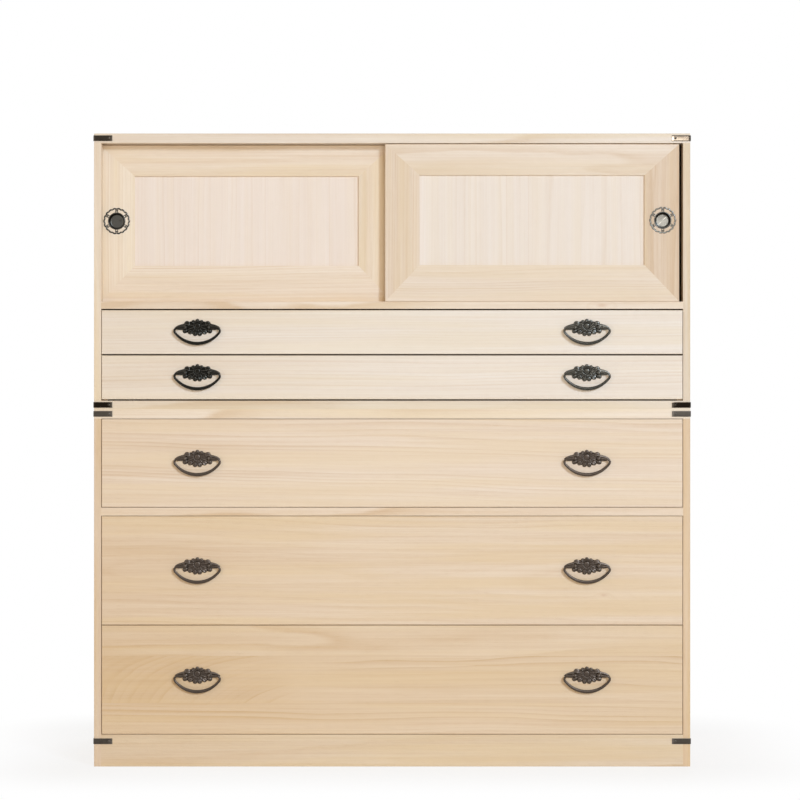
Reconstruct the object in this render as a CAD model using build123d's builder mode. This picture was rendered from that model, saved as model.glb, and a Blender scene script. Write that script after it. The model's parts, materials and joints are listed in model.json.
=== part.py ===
"""Two-piece paulownia clothing chest: a door case on a drawer case, in millimetres.

The origin is on the floor under the middle of the whole chest, handles included.
+X is to the right, the front faces -Y, +Z is up.
"""

from build123d import *
import math
import os

os.makedirs("parts", exist_ok=True)

# ---------------------------------------------------------------- both cases
case_width = 1000
case_depth = 440
side_thickness = 12
back_thickness = 8
back_rabbet = 6  # how far the back panel is let into the boards round it
finger_count = 11  # fingers across the depth of each corner joint, an odd number
housing_depth = 4  # how far a shelf is let into the sides
housing_stop = 10  # the housing starts this far behind the front edge
edge_ease = 0.8

# ---------------------------------------------------------------- lower case, from the floor up
plinth_height = 53.5
plinth_thickness = 18
lower_bottom_thickness = 14
deep_drawer_height = 182.2
first_drawer_height = 147.6
middle_shelf_thickness = 13.6
lower_top_thickness = 16
lower_face_gap = 0.8  # between a drawer face and the board next to it
drawer_pair_gap = 1.1  # between the faces of the two deep drawers

# ---------------------------------------------------------------- upper case
upper_bottom_thickness = 14
tray_height = 73.5
tray_face_gap = 2.4
door_shelf_thickness = 12
door_opening_height = 266
upper_top_thickness = 16

# ---------------------------------------------------------------- trays and drawers
front_thickness = 20
lap_thickness = 8  # what is left of the front in its half-blind corner joints
box_side_thickness = 9
box_back_thickness = 9
box_bottom_thickness = 6
box_bottom_lift = 4  # from the lower edge of the sides to the bottom board
box_groove = 4
side_drop = 3  # how far the sides stop below the top of the front
drawer_side_gap = 0.8
rear_clearance = 12
runner_width = 12
runner_height = 8
runner_setback = 0.5  # behind the drawer front, which it stops
slide_gap = 0.3

# ---------------------------------------------------------------- sliding doors
door_overlap = 3  # of one closed door over the other
door_thickness = 17
door_setback = 4.5
door_spacing = 2.5
door_top_gap = 1.2
door_bottom_gap = 0.4
stile_width = 58
top_rail_width = 52
bottom_rail_width = 61
moulding_width = 13  # on the stiles, and on the rails in proportion to their width
moulding_drop = 1.8
panel_step = 3.6
panel_thickness = 5
panel_groove = 6  # in the stiles, and in the rails in proportion to their width
tongue_thickness = 8
tongue_offset = 4.5  # behind the door's face
tongue_engagement = 5  # in the upper track
tongue_end_inset = 10
upper_track_depth = 10
lower_track_depth = 3
track_play = 0.4
jamb_groove = 5  # a closed door's outer edge sits in a groove in the side
jamb_gap = 0.5
right_door_ajar = 10.5  # the right door stands a little short of closed

# ---------------------------------------------------------------- door pulls
pull_radius = 21
pull_lobe_radius = 1.5
pull_lobes = 18
pull_plate_thickness = 1.2
pull_rim_width = 2.6
pull_spoke_width = 4.2
pull_spokes = 6
bowl_radius = 13.4
bowl_wall = 0.9
bowl_depth = 7.5
bowl_fillet = 3
bowl_lip_width = 1.8
bowl_clearance = 0.1
pull_edge_distance = 27.7  # from the door's closing edge to the pull's centre
pull_above_middle = 4.2

# ---------------------------------------------------------------- bail handles
handle_inset = 160.7  # from the end of a drawer face to the middle of its handle
pivot_rise = 7.8  # of the pivots above the middle of the drawer face
pivot_spread = 19.7  # of each eye from the middle of its handle
pivot_stand = 6.5  # of the pivots in front of the drawer face
plate_thickness = 1.4
flower_half_width = 26
flower_half_height = 14.4
flower_lobe_radius = 3.4
flower_lobes = 14
wing_half_length = 38.5
wing_half_height = 7.6
boss_radius = 5.5
boss_height = 2.2
eye_radius = 3.6
eye_width = 3.2
shank_radius = 1.5
shank_clearance = 0.1
clench_length = 14
clench_width = 2.4
clench_thickness = 1.2
bail_radius = 1.7
bail_running_clearance = 0.06
bail_half_width = 38
bail_drop = 27
bail_corner_radius = 5
bail_side_radius = 8
bail_pin_reach = 3.2  # past the middle of the eye, towards the handle's middle

# ---------------------------------------------------------------- corner irons
iron_leg = 30.7
iron_height = 9.5
iron_thickness = 1.2
iron_bend_radius = 0.9
plinth_iron_drop = 11.1  # below the top of the plinth
nail_inset = 5.5
nail_radius = 0.9
nail_length = 8
nail_head_radius = 2.1
nail_head_height = 0.9
nail_clearance = 0.05

# ---------------------------------------------------------------- places worked out from the sizes
half_width = case_width / 2
inner = half_width - side_thickness
handle_reach = pivot_stand + eye_radius
front = (handle_reach - case_depth) / 2
back = front + case_depth
panel_front = back - back_thickness
HANDS = (-1, 1)  # left, right
door_width = inner + jamb_groove - jamb_gap + door_overlap / 2
track_low = door_setback + tongue_offset
handle_middle = inner - drawer_side_gap - handle_inset

drawer_3_low = plinth_height + lower_face_gap
drawer_3_high = drawer_3_low + deep_drawer_height
drawer_2_low = drawer_3_high + drawer_pair_gap
drawer_2_high = drawer_2_low + deep_drawer_height
middle_shelf_low = drawer_2_high + lower_face_gap
middle_shelf_high = middle_shelf_low + middle_shelf_thickness
drawer_1_low = middle_shelf_high + lower_face_gap
drawer_1_high = drawer_1_low + first_drawer_height
lower_top_low = drawer_1_high + lower_face_gap
lower_height = lower_top_low + lower_top_thickness
lower_bottom_low = plinth_height - lower_bottom_thickness

upper_bottom_high = lower_height + upper_bottom_thickness
tray_2_low = upper_bottom_high + tray_face_gap
tray_2_high = tray_2_low + tray_height
tray_1_low = tray_2_high + tray_face_gap
tray_1_high = tray_1_low + tray_height
door_shelf_low = tray_1_high + tray_face_gap
door_shelf_high = door_shelf_low + door_shelf_thickness
upper_top_low = door_shelf_high + door_opening_height
total_height = upper_top_low + upper_top_thickness


# ---------------------------------------------------------------- helpers
def finish(piece, name):
    """Label a finished piece and write its STEP file."""
    piece.part.label = name
    export_step(piece.part, f"parts/{name}.step")


def block(x, y, z, mode=Mode.ADD):
    """Add or cut the rectangular block that spans the pairs x, y and z."""
    centre = ((x[0] + x[1]) / 2, (y[0] + y[1]) / 2, (z[0] + z[1]) / 2)
    with Locations(centre):
        Box(x[1] - x[0], y[1] - y[0], z[1] - z[0], mode=mode)


def cut(x, y, z):
    """Cut a rectangular block out of the open part."""
    block(x, y, z, mode=Mode.SUBTRACT)


def across(near, far, hand):
    """The X span from near to far, measured outwards from the middle, on one hand."""
    return tuple(sorted((hand * near, hand * far)))


def behind(near, far, face=front):
    """The Y span between two depths behind a front face."""
    return (face + near, face + far)


def bands(low, high, count, first):
    """Every other one of count equal bands between low and high, from number first."""
    pitch = (high - low) / count
    return [(low + i * pitch, low + (i + 1) * pitch) for i in range(first, count, 2)]


def front_plane(y, x=0, z=0):
    """A plane that faces the front at y, with X and Z as its own coordinates."""
    return Plane(origin=(x, y, z), x_dir=(1, 0, 0), z_dir=(0, -1, 0))


def side_plane(hand):
    """The outer face of a case side, with distance and Z as its own coordinates."""
    return Plane(origin=(hand * half_width, front, 0), x_dir=(0, hand, 0), z_dir=(hand, 0, 0))


def back_pocket(low, high):
    """Cut the rabbet for a back panel between the inner faces at low and high."""
    reach = inner + back_rabbet
    cut((-reach, reach), (panel_front, back), (low - back_rabbet, high + back_rabbet))


def ease_outer_edges(piece):
    """Break the sharp edges where two outer faces of the chest meet."""

    def outer_faces(edge):
        """How many of the side, front and top faces an edge lies in."""
        middle = edge.center()
        offsets = (abs(middle.X) - half_width, middle.Y - front, middle.Z - total_height)
        return sum(abs(offset) < edge_ease / 10 for offset in offsets)

    chamfer([edge for edge in piece.edges() if outer_faces(edge) == 2], edge_ease)


def nail_places(level):
    """Where the front nails of the irons at one level go, as X and Z."""
    reach = half_width - iron_leg + nail_inset
    return [(hand * reach, level) for hand in HANDS]


def front_nail_holes(level):
    """Bore the nail holes of the irons at one level into the front edge of a board."""
    with BuildSketch(front_plane(front)) as holes:
        with Locations(*nail_places(level)):
            Circle(nail_radius + nail_clearance)
    extrude(holes.sketch, amount=-nail_length, mode=Mode.SUBTRACT)


def side_nail_hole(level, hand):
    """Bore the nail hole of one iron into the side of the case."""
    with BuildSketch(side_plane(hand)) as hole:
        with Locations((hand * (iron_leg - nail_inset), level)):
            Circle(nail_radius + nail_clearance)
    extrude(hole.sketch, amount=-nail_length, mode=Mode.SUBTRACT)


# ---------------------------------------------------------------- case boards
def jointed_board(name, low, high, inner_face, iron_level, tracks=None):
    """A top or bottom board whose ends are fingers between those of the sides.

    inner_face holds the inner faces that the back panel's rabbet runs between.
    tracks is the pair of heights between which the door tracks are ploughed.
    """
    with BuildPart() as board:
        block((-half_width, half_width), (front, back), (low, high))
        for hand in HANDS:
            for band in bands(front, back, finger_count, 1):
                cut(across(inner, half_width, hand), band, (low, high))
        back_pocket(*inner_face)
        if tracks:
            door_tracks(tracks)
        front_nail_holes(iron_level)
        for hand in HANDS:
            side_nail_hole(iron_level, hand)
        ease_outer_edges(board)
    finish(board, name)


def door_tracks(heights):
    """Plough the front and the rear door track between two heights."""
    for face in (0, door_thickness + door_spacing):
        groove = behind(face + track_low - track_play, face + track_low + tongue_thickness + track_play)
        cut((-inner, inner), groove, heights)


def shelf_housing(low, high, hand, start=housing_stop):
    """Cut the stopped housing for a shelf in one side."""
    cut(across(inner, inner + housing_depth, hand), (front + start, back), (low, high))


def shelf(name, low, high, tracks=None):
    """A shelf between the sides, its ends let into them behind the front edge."""
    with BuildPart() as board:
        block((-inner, inner), (front, panel_front), (low, high))
        reach = inner + housing_depth
        block((-reach, reach), (front + housing_stop, panel_front), (low, high))
        if tracks:
            door_tracks(tracks)
    finish(board, name)


def back_panel(name, low, high):
    """A back panel that fills the rabbets round it."""
    reach = inner + back_rabbet
    with BuildPart() as panel:
        block((-reach, reach), (panel_front, back), (low - back_rabbet, high + back_rabbet))
    finish(panel, name)


def lower_side(name, hand):
    """A side of the drawer case, which stands on the floor."""
    with BuildPart() as side:
        block(across(inner, half_width, hand), (front, back), (0, lower_height))
        for band in bands(front, back, finger_count, 0):
            cut(across(inner, half_width, hand), band, (lower_top_low, lower_height))
        shelf_housing(lower_bottom_low, plinth_height, hand, start=plinth_thickness)
        shelf_housing(middle_shelf_low, middle_shelf_high, hand)
        back_pocket(plinth_height, lower_top_low)
        side_nail_hole(plinth_height - plinth_iron_drop, hand)
        ease_outer_edges(side)
    finish(side, name)


def upper_side(name, hand):
    """A side of the door case, with the groove that a closed door's edge sits in."""
    with BuildPart() as side:
        block(across(inner, half_width, hand), (front, back), (lower_height, total_height))
        for band in bands(front, back, finger_count, 0):
            cut(across(inner, half_width, hand), band, (upper_top_low, total_height))
            cut(across(inner, half_width, hand), band, (lower_height, upper_bottom_high))
        shelf_housing(door_shelf_low, door_shelf_high, hand)
        near = door_face_depth(hand) - track_play
        far = near + door_thickness + 2 * track_play
        groove = across(inner, inner + jamb_groove, hand)
        cut(groove, behind(near, far), (door_shelf_high, upper_top_low))
        back_pocket(upper_bottom_high, upper_top_low)
        ease_outer_edges(side)
    finish(side, name)


def door_face_depth(hand):
    """How far a door's face lies behind the front: the right door runs in the front track."""
    return door_setback if hand > 0 else door_setback + door_thickness + door_spacing


def lower_bottom():
    """The bottom board of the drawer case, behind the plinth."""
    reach = inner + housing_depth
    with BuildPart() as board:
        block((-reach, reach), (front + plinth_thickness, back), (lower_bottom_low, plinth_height))
        back_pocket(plinth_height, lower_top_low)
    finish(board, "lower_bottom_board")


def plinth():
    """The board between the sides below the lowest drawer."""
    with BuildPart() as board:
        block((-inner, inner), behind(0, plinth_thickness), (0, plinth_height))
        front_nail_holes(plinth_height - plinth_iron_drop)
    finish(board, "plinth")


def runners(name, low):
    """A pair of strips on the sides that carry the box above them."""
    with BuildPart() as strips:
        for hand in HANDS:
            x = across(inner - runner_width, inner, hand)
            block(x, (front + front_thickness + runner_setback, panel_front), (low, low + runner_height))
    finish(strips, name)


# ---------------------------------------------------------------- corner irons
def corner_irons(name, levels):
    """Angle irons on both front corners at some levels, each with two round-headed nails."""
    with BuildPart() as irons:
        for level in levels:
            with BuildSketch(Plane.XY.offset(level)):
                iron_outline()
            extrude(amount=iron_height / 2, both=True)
        outer = irons.edges().filter_by(Axis.Z).group_by(SortBy.DISTANCE)[-1]
        fillet(outer, iron_bend_radius)
        with BuildSketch(front_plane(front)):
            with Locations(*[place for level in levels for place in nail_places(level)]):
                Circle(nail_radius + nail_clearance)
        extrude(amount=iron_thickness, mode=Mode.SUBTRACT)
        for hand in HANDS:
            with BuildSketch(side_plane(hand)):
                with Locations(*[(hand * (iron_leg - nail_inset), level) for level in levels]):
                    Circle(nail_radius + nail_clearance)
            extrude(amount=iron_thickness, mode=Mode.SUBTRACT)
    with BuildPart() as nails:
        for level in levels:
            for x, z in nail_places(level):
                round_nail(front_plane(front, x, z))
            for hand in HANDS:
                place = (hand * half_width, front + iron_leg - nail_inset, level)
                round_nail(Plane(origin=place, x_dir=(0, hand, 0), z_dir=(hand, 0, 0)))
    fixed = Compound(children=[*irons.solids(), *nails.solids()])
    fixed.label = name
    export_step(fixed, f"parts/{name}.step")


def iron_outline():
    """The L of an iron round each front corner, seen from above."""
    for hand in HANDS:
        corner = hand * (half_width + iron_thickness)
        with BuildLine() as outline:
            Polyline(
                (hand * (half_width - iron_leg), front - iron_thickness),
                (corner, front - iron_thickness),
                (corner, front + iron_leg),
                (hand * half_width, front + iron_leg),
                (hand * half_width, front),
                (hand * (half_width - iron_leg), front),
                close=True,
            )
        make_face(outline.edges())


def round_nail(face):
    """A nail whose shank goes into the wood behind a face and whose head sits on the iron."""
    with BuildSketch(face.offset(iron_thickness)) as shank:
        Circle(nail_radius)
    extrude(shank.sketch, amount=-nail_length)
    with BuildSketch(face.offset(iron_thickness)) as head:
        Circle(nail_head_radius)
    extrude(head.sketch, amount=nail_head_height, taper=35)


# ---------------------------------------------------------------- sliding doors
def door_centre(hand):
    """The X of a door's middle as it stands."""
    closed = inner + jamb_groove - jamb_gap - door_width / 2
    return closed - right_door_ajar if hand > 0 else -closed


def groove_floor(width):
    """How far the panel's groove is from the outer edge of a frame member of some width."""
    return width * (1 - panel_groove / stile_width)


def member_profile(width, tongue=0):
    """The section of a frame member: inwards from its outer edge, and back from its face.

    The inner edge slopes to the panel's step and holds the panel in a groove. tongue is the
    length of the tongue on the outer edge. Stiles and rails differ in width, so everything on
    the inner edge is in proportion to it and lines up along the mitres.
    """
    step = moulding_drop + panel_step
    outline = [
        (0, edge_ease),
        (edge_ease, 0),
        (width * (1 - moulding_width / stile_width), 0),
        (width, moulding_drop),
        (width, step),
        (groove_floor(width), step),
        (groove_floor(width), step + panel_thickness),
        (width, step + panel_thickness),
        (width, door_thickness),
        (0, door_thickness),
    ]
    if tongue:
        outline += [
            (0, tongue_offset + tongue_thickness),
            (-tongue, tongue_offset + tongue_thickness),
            (-tongue, tongue_offset),
            (0, tongue_offset),
        ]
    with BuildLine() as section:
        Polyline(*outline, close=True)
    make_face(section.edges())


def door(name, hand):
    """One sliding door: mitred frame, panel and finger pull."""
    middle = door_centre(hand)
    face = front + door_face_depth(hand)
    low = door_shelf_high + door_bottom_gap
    high = upper_top_low - door_top_gap
    mid_height = (low + high) / 2
    pull_x = middle + hand * (door_width / 2 - pull_edge_distance)
    pull = front_plane(face, pull_x, mid_height + pull_above_middle)

    with BuildPart() as stiles:
        left_edge = middle - door_width / 2
        with BuildSketch(Plane(origin=(left_edge, face, mid_height), x_dir=(1, 0, 0), z_dir=(0, 0, 1))):
            member_profile(stile_width)
        extrude(amount=(high - low) / 2, both=True)
        half = (high - low) / 2
        with BuildSketch(front_plane(face, left_edge, mid_height)):
            with BuildLine():
                Polyline(
                    (0, -half),
                    (stile_width, bottom_rail_width - half),
                    (stile_width, half - top_rail_width),
                    (0, half),
                    close=True,
                )
            make_face()
        extrude(amount=-door_thickness, mode=Mode.INTERSECT)
        mirror(about=Plane.YZ.offset(middle))
        with BuildSketch(pull):
            Circle(bowl_radius + bowl_wall + bowl_clearance)
        extrude(amount=-(bowl_depth + bowl_wall + bowl_clearance), mode=Mode.SUBTRACT)
    finish(stiles, f"{name}_stiles")

    with BuildPart() as rails:
        door_rail(middle, face, high, -1, top_rail_width, door_top_gap + tongue_engagement)
        lower_tongue = door_bottom_gap + lower_track_depth - slide_gap
        door_rail(middle, face, low, 1, bottom_rail_width, lower_tongue)
    finish(rails, f"{name}_rails")

    with BuildPart() as panel:
        reach = door_width / 2 - groove_floor(stile_width)
        depth = moulding_drop + panel_step
        block(
            (middle - reach, middle + reach),
            behind(depth, depth + panel_thickness, face),
            (low + groove_floor(bottom_rail_width), high - groove_floor(top_rail_width)),
        )
    finish(panel, f"{name}_panel")
    finger_pull(f"{name}_pull", pull)


def door_rail(middle, face, edge, inwards, width, tongue):
    """A mitred rail whose outer edge is at the height edge and which grows inwards, +1 or -1."""
    section = Plane(origin=(middle, face, edge), x_dir=(0, 0, inwards), z_dir=(-inwards, 0, 0))
    half = door_width / 2
    with BuildPart(mode=Mode.PRIVATE) as rail:
        with BuildSketch(section):
            member_profile(width, tongue)
        extrude(amount=half, both=True)
        with BuildSketch(front_plane(face, middle, edge)):
            with BuildLine():
                Polyline(
                    (-half + tongue_end_inset, -inwards * tongue),
                    (half - tongue_end_inset, -inwards * tongue),
                    (half - tongue_end_inset, 0),
                    (half, 0),
                    (half - stile_width, inwards * width),
                    (stile_width - half, inwards * width),
                    (-half, 0),
                    (-half + tongue_end_inset, 0),
                    close=True,
                )
            make_face()
        extrude(amount=-door_thickness, mode=Mode.INTERSECT)
    add(rail.part)


def finger_pull(name, face):
    """A round cup let into the stile, under a scalloped openwork plate."""
    rim_inner = pull_radius - pull_rim_width
    with BuildPart() as pull:
        with BuildSketch(face):
            Circle(pull_radius)
            with PolarLocations(pull_radius, pull_lobes):
                Circle(pull_lobe_radius)
            Circle(rim_inner, mode=Mode.SUBTRACT)
            with PolarLocations((rim_inner + bowl_radius) / 2, pull_spokes, start_angle=90):
                Rectangle(rim_inner - bowl_radius + pull_rim_width, pull_spoke_width)
            Circle(bowl_radius + bowl_lip_width)
            Circle(bowl_radius, mode=Mode.SUBTRACT)
        extrude(amount=pull_plate_thickness)
        with BuildSketch(face):
            Circle(bowl_radius + bowl_wall)
        extrude(amount=-(bowl_depth + bowl_wall))
        with BuildSketch(face):
            Circle(bowl_radius)
        extrude(amount=-bowl_depth, mode=Mode.SUBTRACT)
        floor_edge = pull.edges().filter_by(GeomType.CIRCLE)
        floor_edge = floor_edge.filter_by(lambda e: abs(e.radius - bowl_radius) < bowl_clearance)
        fillet(floor_edge.sort_by(Axis.Y)[-1], bowl_fillet)
    finish(pull, name)


# ---------------------------------------------------------------- trays and drawers
def handle_middles(low, high):
    """The middle of each handle's pair of pivots on a face, as X and Z."""
    height = (low + high) / 2 + pivot_rise
    return [(hand * handle_middle, height) for hand in HANDS]


def post_places(low, high):
    """Where the eye posts go through a face, as X and Z."""
    return [(x + hand * pivot_spread, z) for x, z in handle_middles(low, high) for hand in HANDS]


def tray_box(name, low, high, bed, joint_bands):
    """A tray or drawer: the front from low to high, on a box that slides on the surface bed."""
    outer = inner - drawer_side_gap
    box_low = bed + slide_gap
    box_high = high - side_drop
    rear = panel_front - rear_clearance
    front_back = front + front_thickness
    lap = front + lap_thickness
    bottom = (box_low + box_bottom_lift, box_low + box_bottom_lift + box_bottom_thickness)
    bottom_reach = outer - box_side_thickness + box_groove
    side_bands = bands(box_low, box_high, joint_bands, 0)
    end_bands = bands(box_low, box_high, joint_bands, 1)

    with BuildPart() as face_board:
        block((-outer, outer), (front, front_back), (low, high))
        chamfer(face_board.faces().sort_by(Axis.Y)[0].edges(), edge_ease)
        for hand in HANDS:
            for band in side_bands:
                cut(across(outer - box_side_thickness, outer, hand), (lap, front_back), band)
        cut((-bottom_reach, bottom_reach), (front_back - box_groove, front_back), bottom)
        with BuildSketch(front_plane(front)):
            with Locations(*post_places(low, high)):
                Circle(shank_radius + shank_clearance)
        extrude(amount=-front_thickness, mode=Mode.SUBTRACT)
    finish(face_board, f"{name}_front")

    with BuildPart() as sides:
        for hand in HANDS:
            x = across(outer - box_side_thickness, outer, hand)
            block(x, (lap, rear), (box_low, box_high))
            for band in end_bands:
                cut(x, (lap, front_back), band)
                cut(x, (rear - box_back_thickness, rear), band)
        cut((-bottom_reach, bottom_reach), (lap, rear), bottom)
    finish(sides, f"{name}_sides")

    with BuildPart() as back_board:
        block((-outer, outer), (rear - box_back_thickness, rear), (bottom[1], box_high))
        for hand in HANDS:
            for band in side_bands:
                cut(across(outer - box_side_thickness, outer, hand), (rear - box_back_thickness, rear), band)
    finish(back_board, f"{name}_back")

    with BuildPart() as bottom_board:
        block((-bottom_reach, bottom_reach), (front_back - box_groove, rear), bottom)
    finish(bottom_board, f"{name}_bottom")

    handle_plates(f"{name}_handle_plates", low, high)
    for side, place in zip(("left", "right"), handle_middles(low, high)):
        bail(f"{name}_{side}_bail", place)


# ---------------------------------------------------------------- handles
def handle_plates(name, low, high):
    """Two flower plates on a face, each with two split eye posts clenched behind the board."""
    with BuildPart() as plates:
        with BuildSketch(front_plane(front)):
            with Locations(*handle_middles(low, high)):
                flower_outline()
            with Locations(*post_places(low, high)):
                Circle(shank_radius + shank_clearance, mode=Mode.SUBTRACT)
        extrude(amount=plate_thickness)
        with BuildSketch(front_plane(front - plate_thickness)):
            with Locations(*handle_middles(low, high)):
                Circle(boss_radius)
        extrude(amount=boss_height, taper=30)
    eye_hole = bail_radius + bail_running_clearance
    neck = pivot_stand - (eye_radius + eye_hole) / 2
    with BuildPart() as posts:
        with BuildSketch(*[eye_plane(x, z) for x, z in post_places(low, high)]):
            Circle(eye_radius)
            Circle(eye_hole, mode=Mode.SUBTRACT)
        extrude(amount=eye_width / 2, both=True)
        with BuildSketch(front_plane(front - neck)):
            with Locations(*post_places(low, high)):
                Circle(shank_radius)
        extrude(amount=-(neck + front_thickness + clench_thickness))
        with BuildSketch(front_plane(front + front_thickness)):
            with Locations(*post_places(low, high)):
                Rectangle(clench_width, clench_length)
        extrude(amount=-clench_thickness)
    fixed = Compound(children=[*plates.solids(), *posts.solids()])
    fixed.label = name
    export_step(fixed, f"parts/{name}.step")


def eye_plane(x, z):
    """The middle of an eye post, seen along its hole."""
    return Plane(origin=(x, front - pivot_stand, z), x_dir=(0, 1, 0), z_dir=(1, 0, 0))


def flower_outline():
    """A lens-shaped flower: an ellipse edged with round petals, between two pointed leaves."""
    across_petals = flower_half_width - flower_lobe_radius
    up_petals = flower_half_height - flower_lobe_radius
    turns = [2 * math.pi * i / flower_lobes for i in range(flower_lobes)]
    tips = ((-wing_half_length, 0), (wing_half_length, 0))
    with BuildSketch(mode=Mode.PRIVATE) as flower:
        Ellipse(across_petals, up_petals)
        with Locations(*[(across_petals * math.sin(t), up_petals * math.cos(t)) for t in turns]):
            Circle(flower_lobe_radius)
        with BuildLine():
            ThreePointArc(tips[0], (0, wing_half_height), tips[1])
            ThreePointArc(tips[1], (0, -wing_half_height), tips[0])
        make_face()
    add(flower.sketch)


def bail(name, place):
    """A drop bail: pins through the eyes, round shoulders, and one long arc below."""
    depth = bail_drop - bail_corner_radius
    side_x = bail_half_width - bail_side_radius
    belly_radius = (side_x**2 + depth**2 - bail_side_radius**2) / (2 * (depth - bail_side_radius))
    belly_rise = belly_radius - bail_drop
    side_turn = math.degrees(math.atan2(belly_rise + bail_corner_radius, side_x))
    corner_x = bail_half_width - bail_corner_radius
    pivots = front_plane(front - pivot_stand, *place)
    with BuildPart() as wire:
        with BuildLine(pivots) as path:
            Line((pivot_spread - bail_pin_reach, 0), (corner_x, 0))
            CenterArc((corner_x, -bail_corner_radius), bail_corner_radius, 90, -90)
            CenterArc((side_x, -bail_corner_radius), bail_side_radius, 0, -side_turn)
            CenterArc((0, belly_rise), belly_radius, -side_turn, 2 * side_turn - 180)
            CenterArc((-side_x, -bail_corner_radius), bail_side_radius, side_turn - 180, -side_turn)
            CenterArc((-corner_x, -bail_corner_radius), bail_corner_radius, 180, -90)
            Line((-corner_x, 0), (bail_pin_reach - pivot_spread, 0))
        with BuildSketch(Plane(origin=path.wire() @ 0, z_dir=path.wire() % 0)):
            Circle(bail_radius)
        sweep()
    finish(wire, name)


# ---------------------------------------------------------------- the chest
lower_side("lower_left_side", -1)
lower_side("lower_right_side", 1)
jointed_board(
    "lower_top_board",
    lower_top_low,
    lower_height,
    (plinth_height, lower_top_low),
    iron_level=(lower_top_low + lower_height) / 2,
)
lower_bottom()
back_panel("lower_back_panel", plinth_height, lower_top_low)
shelf("middle_shelf", middle_shelf_low, middle_shelf_high)
plinth()
runners("drawer_runners", drawer_2_low)
corner_irons(
    "lower_corner_irons", ((lower_top_low + lower_height) / 2, plinth_height - plinth_iron_drop)
)

upper_side("upper_left_side", -1)
upper_side("upper_right_side", 1)
jointed_board(
    "upper_top_board",
    upper_top_low,
    total_height,
    (upper_bottom_high, upper_top_low),
    iron_level=(upper_top_low + total_height) / 2,
    tracks=(upper_top_low, upper_top_low + upper_track_depth),
)
jointed_board(
    "upper_bottom_board",
    lower_height,
    upper_bottom_high,
    (upper_bottom_high, upper_top_low),
    iron_level=(lower_height + upper_bottom_high) / 2,
)
back_panel("upper_back_panel", upper_bottom_high, upper_top_low)
shelf(
    "door_shelf",
    door_shelf_low,
    door_shelf_high,
    tracks=(door_shelf_high - lower_track_depth, door_shelf_high),
)
runners("tray_runners", tray_1_low)
corner_irons(
    "upper_corner_irons", ((lower_height + upper_bottom_high) / 2, (upper_top_low + total_height) / 2)
)

door("left_door", -1)
door("right_door", 1)

tray_box("tray_1", tray_1_low, tray_1_high, tray_1_low + runner_height, joint_bands=3)
tray_box("tray_2", tray_2_low, tray_2_high, upper_bottom_high, joint_bands=3)
tray_box("drawer_1", drawer_1_low, drawer_1_high, middle_shelf_high, joint_bands=5)
tray_box("drawer_2", drawer_2_low, drawer_2_high, drawer_2_low + runner_height, joint_bands=7)
tray_box("drawer_3", drawer_3_low, drawer_3_high, plinth_height, joint_bands=7)
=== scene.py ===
"""Dresses the two-piece paulownia clothing chest: wood, irons, handles, door pulls, light and camera."""

import json
import math

import bpy
import numpy as np
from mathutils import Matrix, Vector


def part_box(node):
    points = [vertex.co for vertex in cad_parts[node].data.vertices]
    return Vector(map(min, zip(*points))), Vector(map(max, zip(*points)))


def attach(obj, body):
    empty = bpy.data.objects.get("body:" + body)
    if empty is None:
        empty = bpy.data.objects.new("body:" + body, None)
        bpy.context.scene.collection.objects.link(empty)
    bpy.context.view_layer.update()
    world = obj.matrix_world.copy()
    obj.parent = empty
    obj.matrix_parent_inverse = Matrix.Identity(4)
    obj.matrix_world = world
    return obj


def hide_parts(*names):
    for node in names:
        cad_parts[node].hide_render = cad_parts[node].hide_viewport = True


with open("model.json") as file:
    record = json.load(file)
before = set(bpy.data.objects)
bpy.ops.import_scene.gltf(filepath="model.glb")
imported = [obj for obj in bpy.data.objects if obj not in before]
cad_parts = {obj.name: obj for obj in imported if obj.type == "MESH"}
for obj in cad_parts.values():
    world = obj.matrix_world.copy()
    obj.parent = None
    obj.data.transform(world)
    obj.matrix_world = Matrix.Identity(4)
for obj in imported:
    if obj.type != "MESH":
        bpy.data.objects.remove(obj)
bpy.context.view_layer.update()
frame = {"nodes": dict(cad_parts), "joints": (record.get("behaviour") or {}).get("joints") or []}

MM = 0.001
HANDS = (-1, 1)
SIDES = ("left", "right")
BOXES = ("tray_1", "tray_2", "drawer_1", "drawer_2", "drawer_3")

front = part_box("drawer_2_front")[0].y / MM  # the plane of the drawer faces and of the boards' front edges
half_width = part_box("lower_right_side")[1].x / MM
pivots = {
    joint["child"]: np.array(joint["pos_m"]) / MM
    for joint in frame["joints"]
    if joint["child"].endswith("_bail")
}


# ---------------------------------------------------------------- closed shells, in millimetres
def loft(rings, round_trip=False):
    """A closed shell through rings of points, an array of (rings, points round each, 3).

    Each ring is joined to the next. The last is joined to the first on a round trip, and otherwise
    both ends are closed by a fan of triangles on the end ring's middle.
    """
    count, around = rings.shape[:2]
    here = np.arange(count if round_trip else count - 1)[:, None] * around
    there = (here + around) % (count * around)
    step = np.arange(around)[None, :]
    after = (step + 1) % around
    quads = np.stack([here + step, here + after, there + after, there + step], axis=-1).reshape(-1, 4)
    points = rings.reshape(-1, 3)
    if round_trip:
        return points, quads, np.zeros((0, 3), int)
    ends = np.stack([rings[0].mean(axis=0), rings[-1].mean(axis=0)])
    step = step.ravel()
    after = after.ravel()
    last = (count - 1) * around
    pole = np.full(around, count * around)
    fans = [
        np.stack([pole, after, step], axis=1),
        np.stack([pole + 1, last + step, last + after], axis=1),
    ]
    return np.vstack([points, ends]), quads, np.vstack(fans)


def sixfold_volume(points, faces):
    """Six times the signed volume between the origin and faces, summed over each face's fan."""
    first = points[faces[:, 0]]
    steps = range(1, faces.shape[1] - 1)
    fans = [np.cross(points[faces[:, k]], points[faces[:, k + 1]]) for k in steps]
    return sum((first * fan).sum() for fan in fans)


CREASE = 48  # edges sharper than this many degrees stay crisp


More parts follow.
